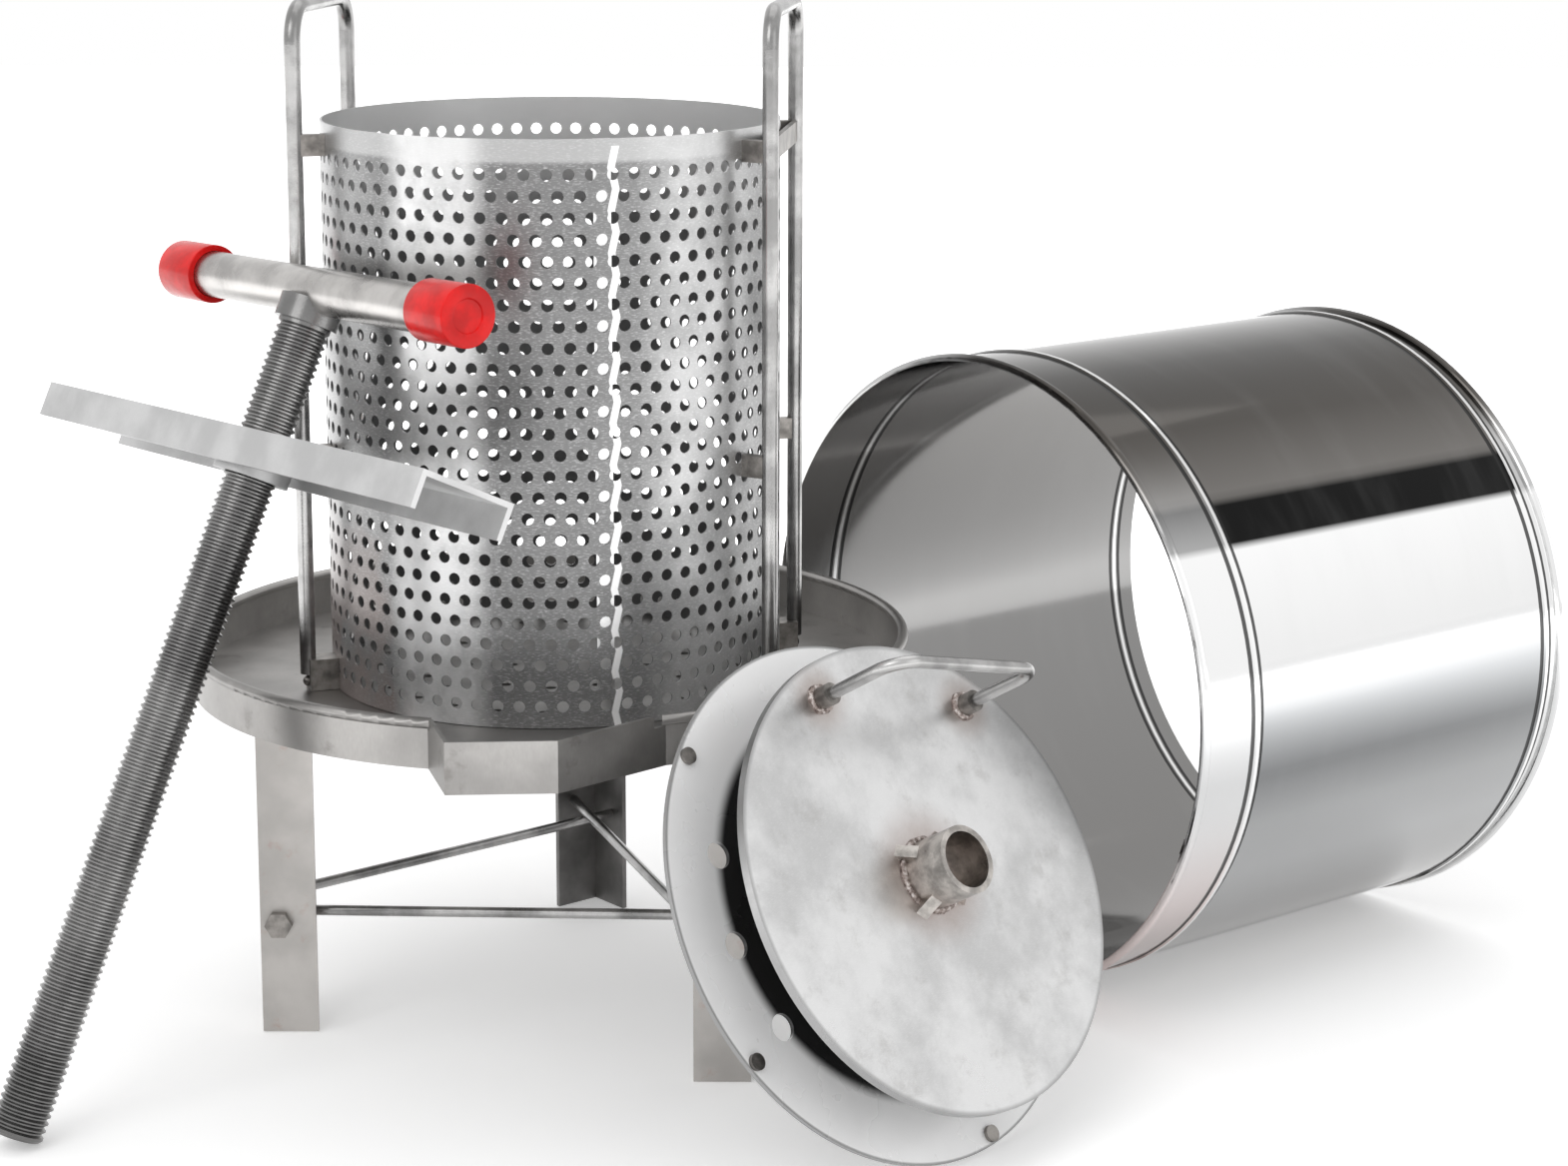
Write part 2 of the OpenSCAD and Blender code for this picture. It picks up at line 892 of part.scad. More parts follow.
// Rivet heads near the drain plate's edge
module drain_rivets() {
    head_h = 0.25 * rivet_d;
    color("darkgray")
        in_plates()
            for (k = [0:4])
                rotate([0, 0, 72 * k - rivet_turn])
                    translate([rivet_r, 0, drain_t])
                        cylinder(d = rivet_d, h = head_h, $fn = 48);
}

// Barrel
module barrel_shell() {
    groove = bead_h;
    color("lightsteelblue")
        in_barrel()
            rotate_extrude($fn = 180)
                polygon([
                    [shell_r - barrel_t, 0],
                    [shell_r, 0],
                    [shell_r, bead_place - groove],
                    [shell_r + groove / 2, bead_place - groove / 3],
                    [shell_r + groove / 2, bead_place + groove / 3],
                    [shell_r, bead_place + groove],
                    [shell_r, barrel_len - bead_far - groove],
                    [shell_r + groove / 2, barrel_len - bead_far - groove / 3],
                    [shell_r + groove / 2, barrel_len - bead_far + groove / 3],
                    [shell_r, barrel_len - bead_far + groove],
                    [shell_r, barrel_len],
                    [shell_r - barrel_t, barrel_len]
                ]);
}

// Rolled edge round one end of the shell
module barrel_hoop(z) {
    color("silver")
        in_barrel()
            translate([0, 0, z])
                rotate_extrude($fn = 180)
                    polygon([
                        for (turn = [-90:22.5:90])
                            [shell_r + bead_h * cos(turn), bead_h * sin(turn)]
                    ]);
}

module barrel_near_hoop() {
    barrel_hoop(bead_h);
}

module barrel_far_hoop() {
    barrel_hoop(barrel_len - bead_h);
}

// Folded seam along the inside of the shell
module barrel_seam() {
    seam_t = barrel_t / 2;
    inner_r = shell_r - barrel_t - seat_gap;
    color("darkgray")
        in_barrel()
            rotate([0, 0, -70])
                intersection() {
                    ring(inner_r, inner_r - seam_t, barrel_len);
                    translate([0, -seam_w / 2, 0])
                        cube([barrel_r, seam_w, barrel_len]);
                }
}

tray_pan();
pour_chute();
leg_left();
leg_rear();
leg_right();
brace_left_rear();
brace_rear_right();
brace_right_left();
leg_bolts();
leg_nuts();
basket_wall();
basket_floor();
basket_seam();
upright_left();
upright_right();
rim_tabs();
rim_bridge();
middle_tabs();
upright_feet();
foot_nuts();
press_screw();
head_saddle();
handle_tube();
handle_cap_left();
handle_cap_right();
cross_beam();
beam_nut();
press_disc();
screw_collar();
collar_gussets();
plate_handle();
handle_feet();
plate_hub();
drain_plate();
drain_rivets();
barrel_shell();
barrel_near_hoop();
barrel_far_hoop();
barrel_seam();
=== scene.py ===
import math

import bmesh
import bpy
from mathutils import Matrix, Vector


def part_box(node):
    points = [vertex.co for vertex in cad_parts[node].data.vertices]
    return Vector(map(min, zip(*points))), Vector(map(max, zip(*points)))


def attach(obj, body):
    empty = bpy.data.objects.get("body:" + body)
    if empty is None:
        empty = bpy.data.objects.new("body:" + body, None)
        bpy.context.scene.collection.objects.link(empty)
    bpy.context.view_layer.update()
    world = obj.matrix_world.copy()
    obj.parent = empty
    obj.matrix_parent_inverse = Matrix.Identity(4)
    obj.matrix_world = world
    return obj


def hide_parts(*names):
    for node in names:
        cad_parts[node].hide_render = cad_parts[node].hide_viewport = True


bl_info = {
    "name": "Fruit press finishes",
    "version": (1, 0, 0),
    "blender": (4, 5, 0),
    "location": "View3D > Sidebar > Fruit press",
    "description": "Perforated basket, red caps, weld beads, metal finishes and a studio",
    "category": "Object",
}

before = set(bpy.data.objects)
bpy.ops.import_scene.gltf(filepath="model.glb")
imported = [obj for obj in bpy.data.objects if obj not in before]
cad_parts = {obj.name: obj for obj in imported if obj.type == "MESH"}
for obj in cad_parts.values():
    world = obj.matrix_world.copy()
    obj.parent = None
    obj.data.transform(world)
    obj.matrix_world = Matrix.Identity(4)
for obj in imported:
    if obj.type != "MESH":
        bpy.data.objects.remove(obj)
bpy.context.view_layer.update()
WHITE = (1, 1, 1, 1)

# Barrel's near end, turn and length in metres and degrees, and each bead's distance from its end
BARREL_END = (0.093764, 0.004255, 0.19)
BARREL_TURN = 38.5
BARREL_LEN = 0.31
BEAD_NEAR = 0.044
BEAD_FAR = 0.016
# Radius that tells the barrel's outer face from its inner one
BARREL_SKIN_R = 0.1864

# Back centre of the drain plate, the way both plates face, and front centre of the press disc
PLATE_BACK = Vector((0.027934, -0.214825, 0.12341))
PLATE_NORMAL = Vector((0.64358, -0.57948, 0.5))
DISC_FACE = PLATE_BACK + PLATE_NORMAL * 0.0455

# Radius of the screw collar and of the bead round a handle foot, and height of a bead's lumps
COLLAR_R = 0.0185
FOOT_BEAD_R = 0.0062
BEAD_LUMP = 0.0016

# Depth of the dish in a red cap's end, width of its slope, and radius of the hole for the tube
CAP_DISH = 0.0012
CAP_SLOPE = 0.0015
CAP_HOLE_R = 0.0133

# Lower and upper corner of the basket's box, its middle and its outer radius
BASKET_LOW, BASKET_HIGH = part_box("basket_wall")
BASKET_AXIS = (BASKET_LOW + BASKET_HIGH) / 2
BASKET_R = (BASKET_HIGH.x - BASKET_LOW.x) / 2

# Name, place, size in metres and power in watts of each lamp, and where they point
LAMPS = (
    ("key_lamp", (-1.6, -2.2, 2.6), 2.0, 22.0),
    ("fill_lamp", (2.4, -1.8, 1.4), 2.2, 8.0),
    ("top_lamp", (0.2, 0.9, 2.8), 2.4, 10.0),
)
LAMP_AIM = Vector((0, 0, 0.25))

# Camera's place, turn in degrees, focal length and sensor width in millimetres, and shift
CAMERA_PLACE = (-0.020959, -1.902643, 0.696539)
CAMERA_TURN = (78.829, -0.1299, -0.0094)
CAMERA_LENS = 76.246
CAMERA_SENSOR = 36.0
CAMERA_SHIFT = -0.08

# Size and depth of the floor, and how far from the middle its own light starts and is full
FLOOR_SIZE = 14
FLOOR_Z = -0.0005
GLOW_START = 0.5
GLOW_FULL = 1.3


# Selecting and finishing meshes
def deselect():
    if bpy.context.mode != "OBJECT":
        leave_edit()
    bpy.ops.object.select_all(action="DESELECT")


def edit(mode="VERT"):
    bpy.ops.object.mode_set(mode="EDIT")
    bpy.ops.mesh.select_mode(type=mode)


def leave_edit():
    bpy.ops.object.mode_set(mode="OBJECT")


def select_all():
    bpy.ops.mesh.select_all(action="SELECT")


def select_where(test, kind="verts"):
    """Selects the vertices, edges or faces of the mesh being edited that the test picks."""
    mesh = bmesh.from_edit_mesh(bpy.context.object.data)
    bpy.ops.mesh.select_all(action="DESELECT")
    picked = 0
    for part in getattr(mesh, kind):
        if test(part):
            part.select_set(True)
            picked += 1
    mesh.select_flush_mode()
    bmesh.update_edit_mesh(bpy.context.object.data)
    if picked == 0:
        raise RuntimeError("no " + kind + " were picked on " + bpy.context.object.name)


def add_modifier(piece, name, kind, **settings):
    modifier = piece.modifiers.new(name, kind)
    for key, setting in settings.items():
        setattr(modifier, key, setting)


def apply_modifiers(piece):
    for modifier in list(piece.modifiers):
        bpy.ops.object.modifier_apply(modifier=modifier.name)


def settle(piece):
    """Puts the piece's place into its mesh, so that its object sits at the origin."""
    deselect()
    piece.select_set(True)
    bpy.context.view_layer.objects.active = piece
    bpy.ops.object.transform_apply(location=True, rotation=True, scale=True)


def dress(mesh, material):
    mesh.materials.clear()
    mesh.materials.append(material)


def tilt_to(direction):
    return Vector(direction).to_track_quat("Z", "Y").to_euler()


def node_points(name):
    return [v.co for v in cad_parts[name].data.vertices]


def middle_of(points):
    return sum(points, Vector()) / len(points)


# Shader values and materials
class Value:
    """A shader value; Python's operators on it add Math nodes."""

    def __init__(self, nodes, socket):
        self.nodes = nodes
        self.socket = socket

    def math(self, operation, *values):
        return self.nodes.math(operation, self, *values)

    def __add__(self, other):
        return self.nodes.math("ADD", self, other)

    def __radd__(self, other):
        return self.nodes.math("ADD", other, self)

    def __sub__(self, other):
        return self.nodes.math("SUBTRACT", self, other)

    def __rsub__(self, other):
        return self.nodes.math("SUBTRACT", other, self)

    def __mul__(self, other):
        return self.nodes.math("MULTIPLY", self, other)

    def __rmul__(self, other):
        return self.nodes.math("MULTIPLY", other, self)

    def __truediv__(self, other):
        return self.nodes.math("DIVIDE", self, other)

    def __rtruediv__(self, other):
        return self.nodes.math("DIVIDE", other, self)

    def __gt__(self, other):
        return self.nodes.math("GREATER_THAN", self, other)

    def __lt__(self, other):
        return self.nodes.math("LESS_THAN", self, other)

    def clamp(self):
        return self.nodes.node("ShaderNodeClamp", {}, {"Value": self, "Min": 0.0, "Max": 1.0})

    def between(self, low, high):
        """0 at low and 1 at high, with a soft start and end."""
        return self.nodes.node(
            "ShaderNodeMapRange",
            {"interpolation_type": "SMOOTHSTEP"},
            {"Value": self, "From Min": low, "From Max": high},
        )


class Nodes:
    """Adds nodes to the tree of a material or of the world."""

    def __init__(self, tree):
        self.tree = tree

    def node(self, kind, settings, inputs, output=0):
        """Adds a node and returns one output, or a list of them where output is a tuple."""
        made = self.tree.nodes.new(kind)
        for name, setting in settings.items():
            if name == "stops":
                self.set_stops(made, setting)
            else:
                setattr(made, name, setting)
        for name, given in inputs.items():
            if isinstance(given, Value):
                self.tree.links.new(given.socket, made.inputs[name])
            else:
                made.inputs[name].default_value = given
        if isinstance(output, tuple):
            return [Value(self, made.outputs[name]) for name in output]
        return Value(self, made.outputs[output])

    def math(self, operation, *values):
        return self.node("ShaderNodeMath", {"operation": operation}, dict(enumerate(values)))

    def set_stops(self, made, stops):
        ramp = made.color_ramp
        ramp.elements.remove(ramp.elements[1])
        ramp.elements[0].position = stops[0][0]
        ramp.elements[0].color = tuple(stops[0][1]) + (1.0,)
        for place, tone in stops[1:]:
            ramp.elements.new(place).color = tuple(tone) + (1.0,)

    def place(self, location=(0, 0, 0), rotation=(0, 0, 0), scale=(1, 1, 1)):
        """Object coordinates, read in a frame that stands at location and is turned."""
        coords = self.node("ShaderNodeTexCoord", {}, {}, "Object")
        return self.node(
            "ShaderNodeMapping",
            {"vector_type": "TEXTURE"},
            {"Vector": coords, "Location": location, "Rotation": rotation, "Scale": scale},
        )

    def axes(self, place):
        return self.node("ShaderNodeSeparateXYZ", {}, {0: place}, ("X", "Y", "Z"))

    def noise(self, place, scale, detail=3.0, roughness=0.55):
        given = {"Vector": place, "Scale": scale, "Detail": detail, "Roughness": roughness}
        return self.node("ShaderNodeTexNoise", {}, given)

    def ramp(self, factor, stops):
        return self.node("ShaderNodeValToRGB", {"stops": stops}, {"Fac": factor})

    def mix(self, factor, first, second):
        inputs = {0: factor, 6: self.tone(first), 7: self.tone(second)}
        return self.node("ShaderNodeMix", {"data_type": "RGBA"}, inputs, 2)

    def tone(self, colour):
        return colour if isinstance(colour, Value) else tuple(colour) + (1.0,)

    def seen(self):
        """1 for rays of the camera, of reflections and of clear materials, and 0 for others."""
        kinds = ("Is Camera Ray", "Is Glossy Ray", "Is Transmission Ray")
        camera, glossy, through = self.node("ShaderNodeLightPath", {}, {}, kinds)
        return (camera + glossy + through).clamp()


class Finish(Nodes):
    """One procedural material and the shader that its nodes feed."""

    def __init__(self, name, metallic, roughness, colour):
        self.material = bpy.data.materials.new(name)
        self.material.use_nodes = True
        super().__init__(self.material.node_tree)
        self.shader = self.tree.nodes["Principled BSDF"]
        self.shader.inputs["Base Color"].default_value = tuple(colour) + (1.0,)
        self.shader.inputs["Metallic"].default_value = metallic
        self.shader.inputs["Roughness"].default_value = roughness

    def feed(self, name, value):
        self.tree.links.new(value.socket, self.shader.inputs[name])

    def bump(self, height, strength, distance):
        given = {"Height": height, "Strength": strength, "Distance": distance}
        self.feed("Normal", self.node("ShaderNodeBump", {}, given))


def grey(level, warm=0.0):
    return (level * (1 + warm), level, level * (1 - warm))


def angle_share(x, y):
    """The turn of a point about an axis, from 0 at -180 degrees to 1 at 180 degrees."""
    return y.math("ARCTAN2", x) / (2 * math.pi) + 0.5


def share(degrees):
    return degrees / 360 + 0.5


def length(x, y):
    return (x * x + y * y).math("SQRT")


def round_stops(*stops):
    """Ramp stops round an axis, each from a turn in degrees, a grey level and its warmth."""
    return [(share(turn), grey(*tone)) for turn, *tone in stops]


def worn_metal(name, dark, light, roughness, size, stretch=(1, 1, 1), warm=0.02, stain=None):
    """Metal whose tone drifts in clouds, with fine grain and, where one is given, a stain."""
    finish = Finish(name, 1.0, roughness, grey(light, warm))
    place = finish.place()
    grain_place = finish.place(scale=stretch)
    cloud = finish.noise(place, 1 / size, 4.0)
    grain = finish.noise(grain_place, 900.0, 2.0)
    tone = finish.mix(cloud.between(0.34, 0.66), grey(dark, warm), grey(light, warm))
    tone = finish.mix(grain * 0.35, tone, grey(dark * 0.75, warm))
    if stain is not None:
        spots = finish.noise(place, 2.6 / size, 5.0, 0.65)
        tone = finish.mix(spots.between(0.58, 0.74) * 0.6, tone, stain)
    finish.feed("Base Color", tone)
    finish.feed("Roughness", cloud * 0.16 + (roughness - 0.08))
    finish.bump(grain, 0.12, 0.0004)
    return finish.material


def basket_sheet():
    """Punched basket sheet: bright and dark runs round it that are painted reflections and shade,
    mottled, with a warm stain, a painted highlight down the seam and painted shade on its inner
    face.
    """
    finish = Finish("basket_sheet", 0.85, 0.34, grey(0.5))
    place = finish.place(location=(BASKET_AXIS.x, BASKET_AXIS.y, 0))
    x, y, z = finish.axes(place)
    turn = angle_share(x, y)
    # Painted reflections and shade: bright and dark runs by the turn round the basket
    runs = finish.ramp(
        turn,
        round_stops(
            (-180, 0.42),
            (-150, 0.34),
            (-131, 0.24),
            (-124, 0.72),
            (-107, 0.6),
            (-101, 0.17),
            (-80, 0.2),
            (-66, 0.22),
            (-55, 0.5),
            (-36, 0.46),
            (-20, 0.2),
            (10, 0.38),
            (60, 0.62),
            (120, 0.55),
            (180, 0.42),
        ),
    )
    cloud = finish.noise(place, 26.0, 5.0, 0.6)
    grain = finish.noise(finish.place(scale=(1, 1, 0.2)), 420.0, 2.0)
    tone = finish.mix(cloud.between(0.4, 0.68) * 0.5, runs, grey(0.2))
    tone = finish.mix(grain.between(0.5, 0.75) * 0.35, tone, grey(0.85))
    low = z.between(0.34, 0.22)
    patches = finish.noise(place, 14.0).between(0.45, 0.6)
    left = x.between(-0.03, -0.1)
    tone = finish.mix(low * patches * left * 0.4, tone, (0.36, 0.25, 0.22))
    rim = z.between(BASKET_HIGH.z - 0.014, BASKET_HIGH.z - 0.011)
    tone = finish.mix(rim * 0.45, tone, grey(0.66))
    # Painted highlight down the seam, a white band which sways from side to side
    sway_h = 0.0115
    sway = z.math("PINGPONG", sway_h) / sway_h * 0.0026
    off_seam = ((turn - share(-72)) * (2 * math.pi * BASKET_R) - sway).math("ABSOLUTE")
    seam_highlight = off_seam.between(0.0024, 0.0016) * (z < BASKET_HIGH.z - 0.004)
    tone = finish.mix(seam_highlight, tone, grey(1.0))
    # Inner face: painted shade, dark below and pale near the rim
    half_sheet = 0.0006
    inner = length(x, y) < BASKET_R - half_sheet
    tone = finish.mix(inner, tone, finish.mix(z.between(0.44, 0.51), grey(0.13), grey(0.6)))
    finish.feed("Base Color", tone)
    finish.feed("Metallic", low * -0.45 + 0.85)
    finish.feed("Roughness", cloud * 0.2 + 0.24)
    finish.bump(grain, 0.15, 0.0004)
    return finish.material


def barrel_sheet():
    """Polished barrel sheet, with painted reflections in the long dark and light runs that lie
    along it, painted shade inside, and painted highlights and shade at its end bands and beads.
    """
    finish = Finish("barrel_sheet", 1.0, 0.12, grey(0.8))
    turned = (0, 0, math.radians(BARREL_TURN))
    place = finish.place(location=BARREL_END, rotation=turned)
    x, y, z = finish.axes(place)
    turn = angle_share(y * -1, z)
    # Painted reflections on the outer face, dark and light by the turn round the barrel
    outer_painted_reflections = finish.ramp(
        turn,
        round_stops(
            (-180, 0.6),
            (-110, 0.4),
            (-72, 0.2, 0.03),
            (-60, 0.34, 0.03),
            (-58.5, 0.03),
            (-56, 0.03),
            (-54.5, 0.34, 0.01),
            (-30, 0.42, -0.01),
            (-19, 0.36, -0.01),
            (-9, 0.2, -0.02),
            (1, 0.4, -0.02),
            (11, 0.86),
            (31, 0.97),
            (32.2, 0.012),
            (40, 0.01),
            (41, 0.18, 0.05),
            (56, 0.08, 0.08),
            (76, 0.035, 0.08),
            (92, 0.09, 0.04),
            (104, 0.4),
            (140, 0.7),
            (180, 0.6),
        ),
    )
    # Painted shade and reflections on the inner face, by the turn round it
    inside = finish.ramp(
        turn,
        round_stops(
            (-180, 0.27, 0.01),
            (-120, 0.22, 0.02),
            (-80, 0.16, 0.03),
            (-40, 0.2),
            (0, 0.34),
            (60, 0.28),
            (100, 0.22),
            (125, 0.24, 0.03),
            (150, 0.27, 0.02),
            (180, 0.27, 0.01),
        ),
    )
    skin = length(y, z) > BARREL_SKIN_R
    tone = finish.mix(skin, inside, outer_painted_reflections)
    smear = finish.noise(finish.place(BARREL_END, turned, (0.25, 1, 1)), 9.0, 3.0)
    tone = finish.mix(smear.between(0.45, 0.75) * 0.04, tone, grey(0.45))
    # Painted highlight on the band between the near end and its bead
    near_painted_highlight = (x < BEAD_NEAR) * skin * z.between(-0.17, -0.1) * z.between(0.15, 0.08)
    tone = finish.mix(near_painted_highlight * 0.55, tone, grey(0.92))
    blush = (x < BEAD_NEAR) * z.between(-0.04, -0.12)
    tone = finish.mix(blush * 0.4, tone, (0.74, 0.55, 0.52))
    # Painted highlight on the far end's band
    far_painted_highlight = (x > BARREL_LEN - BEAD_FAR) * skin * z.between(0.15, 0.12)
    tone = finish.mix(far_painted_highlight * 0.7, tone, grey(0.8))
    # Beads, each with a painted highlight along its top between two lines of painted shade on its
    # flanks
    flank, flank_half, glint_half = 0.0036, 0.0013, 0.0012
    for bead in (BEAD_NEAR, BARREL_LEN - BEAD_FAR):
        for side in (-flank, flank):
            flank_shade = x.math("COMPARE", bead + side, flank_half)
            tone = finish.mix(flank_shade * 0.9, tone, grey(0.03))
        crest_glint = x.math("COMPARE", bead, glint_half)
        tone = finish.mix(crest_glint * 0.7, tone, grey(0.98))
    finish.feed("Base Color", tone)
    finish.feed("Roughness", smear * 0.08 + 0.06)
    return finish.material


def disc_sheet():
    """Satin press disc: cloudy stains, and heat tint where the fittings are welded."""
    finish = Finish("disc_sheet", 1.0, 0.3, grey(0.75))
    tilt = tilt_to(PLATE_NORMAL)
    place = finish.place(location=DISC_FACE, rotation=tilt)
    x, y = finish.axes(place)[:2]
    cloud = finish.noise(place, 11.0, 6.0, 0.62)
    patch = finish.noise(place, 34.0, 5.0, 0.7)
    scratch = finish.noise(finish.place(DISC_FACE, tilt, (1, 0.06, 1)), 300.0, 2.0)
    tone = finish.mix(cloud.between(0.4, 0.64), grey(0.74), grey(0.54))
    tone = finish.mix(patch.between(0.52, 0.7) * 0.35, tone, grey(0.36, 0.03))
    tone = finish.mix(scratch.between(0.5, 0.75) * 0.3, tone, grey(0.92))
    radius = length(x, y)
    rim = radius.between(0.124, 0.1268)
    tone = finish.mix(rim * 0.6, tone, grey(0.25))
    # Heat tint round the collar and round each foot of the handle
    uneven = (patch * 0.9 + 0.35).clamp()
    heat = radius.between(0.045, 0.019) * uneven
    tone = finish.mix(heat * 0.75, tone, (0.36, 0.28, 0.25))
    for foot in feet_places():
        foot_x, foot_y = finish.axes(finish.place(location=foot, rotation=tilt))[:2]
        heat = length(foot_x, foot_y).between(0.024, 0.006) * uneven
        tone = finish.mix(heat * 0.8, tone, (0.33, 0.26, 0.23))
    finish.feed("Base Color", tone)
    finish.feed("Roughness", cloud * 0.2 + 0.2)
    finish.bump(patch, 0.08, 0.0006)
    return finish.material


def drain_sheet():
    """Bright drain plate, whose dark middle stands for the shade behind the press disc."""
    finish = Finish("drain_sheet", 0.12, 0.35, grey(0.9))
    place = finish.place(location=PLATE_BACK, rotation=tilt_to(PLATE_NORMAL))
    x, y = finish.axes(place)[:2]
    radius = length(x, y)
    cloud = finish.noise(place, 16.0, 4.0)
    specks = finish.noise(place, 120.0, 4.0, 0.7)
    tone = finish.mix(cloud.between(0.4, 0.7), grey(1.0), grey(0.93))
    tone = finish.mix(specks.between(0.66, 0.78) * 0.4, tone, grey(0.5, 0.04))
    dark = radius.between(0.112, 0.104)
    tone = finish.mix(dark, tone, grey(0.015))
    edge = radius.between(0.1405, 0.142)
    tone = finish.mix(edge * 0.7, tone, grey(0.12))
    finish.feed("Base Color", tone)
    finish.feed("Roughness", cloud * 0.15 + 0.2)
    return finish.material


def red_plastic(colour):
    """Moulded red plastic, glossy, with a faint ripple and rubbed spots."""
    finish = Finish("red_plastic", 0.0, 0.3, colour)
    place = finish.place()
    ripple = finish.noise(place, 60.0, 3.0)
    dust = finish.noise(place, 340.0, 3.0)
    deep = tuple(level * 0.7 for level in colour)
    tone = finish.mix(ripple.between(0.35, 0.65), colour, deep)
    tone = finish.mix(dust.between(0.7, 0.8) * 0.12, tone, (0.9, 0.4, 0.36))
    finish.feed("Base Color", tone)
    finish.feed("Roughness", ripple * 0.16 + 0.16)
    finish.bump(ripple, 0.3, 0.0016)
    finish.shader.inputs["Coat Weight"].default_value = 0.08
    finish.shader.inputs["Specular IOR Level"].default_value = 0.25
    return finish.material


def weld_metal():
    """Weld bead: dark, rough and browned."""
    finish = Finish("weld_metal", 1.0, 0.5, grey(0.3))
    place = finish.place()
    lumps = finish.noise(place, 420.0, 4.0)
    tone = finish.ramp(
        lumps,
        [(0.3, (0.09, 0.07, 0.065)), (0.5, (0.3, 0.25, 0.23)), (0.68, (0.66, 0.62, 0.6))],
    )
    finish.feed("Base Color", tone)
    finish.feed("Roughness", lumps * 0.4 + 0.3)
    finish.bump(lumps, 0.6, 0.0012)
    return finish.material


def feet_places():
    """The two feet of the press disc's handle, found from the handle's own mesh."""
    points = node_points("handle_feet")
    across = PLATE_NORMAL.cross(Vector((0, 0, 1))).normalized()
    middle = middle_of(points)
    found = []
    for side in (-1, 1):
        foot = middle_of([p for p in points if (p - middle).dot(across) * side > 0])
        found.append(tuple(foot - PLATE_NORMAL * (foot - DISC_FACE).dot(PLATE_NORMAL)))
    return found


# Sizes and colours that a user would change
class PressBasketSizes(bpy.types.PropertyGroup):
    hole_d: bpy.props.FloatProperty(
        name="Hole diameter",
        description="Diameter of each round hole in the basket wall",
        default=0.0068,
        min=0.004,
        max=0.009,
        unit="LENGTH",
    )
    holes_round: bpy.props.IntProperty(
        name="Holes in a row",
        description="Holes in one row round the basket",
        default=68,
        min=50,
        max=76,
    )
    row_pairs: bpy.props.IntProperty(
        name="Pairs of rows",
        description="Pairs of staggered rows up the basket",
        default=13,
        min=10,
        max=14,
    )
    top_band: bpy.props.FloatProperty(
        name="Top band",
        description="Height from the first row's centres to the basket's rim",
        default=0.019,
        min=0.012,
        max=0.03,
        unit="LENGTH",
    )
    low_band: bpy.props.FloatProperty(
        name="Low band",
        description="Height of the last row's centres above the basket's lower edge",
        default=0.012,
        min=0.009,
        max=0.03,
        unit="LENGTH",
    )
    sheet: bpy.props.FloatProperty(
        name="Sheet thickness",
        description="Thickness of the basket sheet",
        default=0.0012,
        min=0.0008,
        max=0.002,
        unit="LENGTH",
    )


class PressTrimSizes(bpy.types.PropertyGroup):
    bead_r: bpy.props.FloatProperty(
        name="Weld bead radius",
        description="Radius of the weld beads round the fittings",
        default=0.0021,
        min=0.001,
        max=0.004,
        unit="LENGTH",
    )
    cap_edge: bpy.props.FloatProperty(
        name="Cap edge",
        description="Rounding of the red caps' ends",
        default=0.0045,
        min=0.001,
        max=0.007,
        unit="LENGTH",
    )
    cap_colour: bpy.props.FloatVectorProperty(
        name="Cap colour",
        description="Colour of the moulded caps",
        default=(0.86, 0.005, 0.005),
        size=3,
        subtype="COLOR",
        min=0.0,
        max=1.0,
    )
    floor_colour: bpy.props.FloatVectorProperty(
        name="Floor colour",
        description="Colour of the studio floor",
        default=(0.94, 0.94, 0.94),
        size=3,
        subtype="COLOR",
        min=0.0,
        max=1.0,
    )


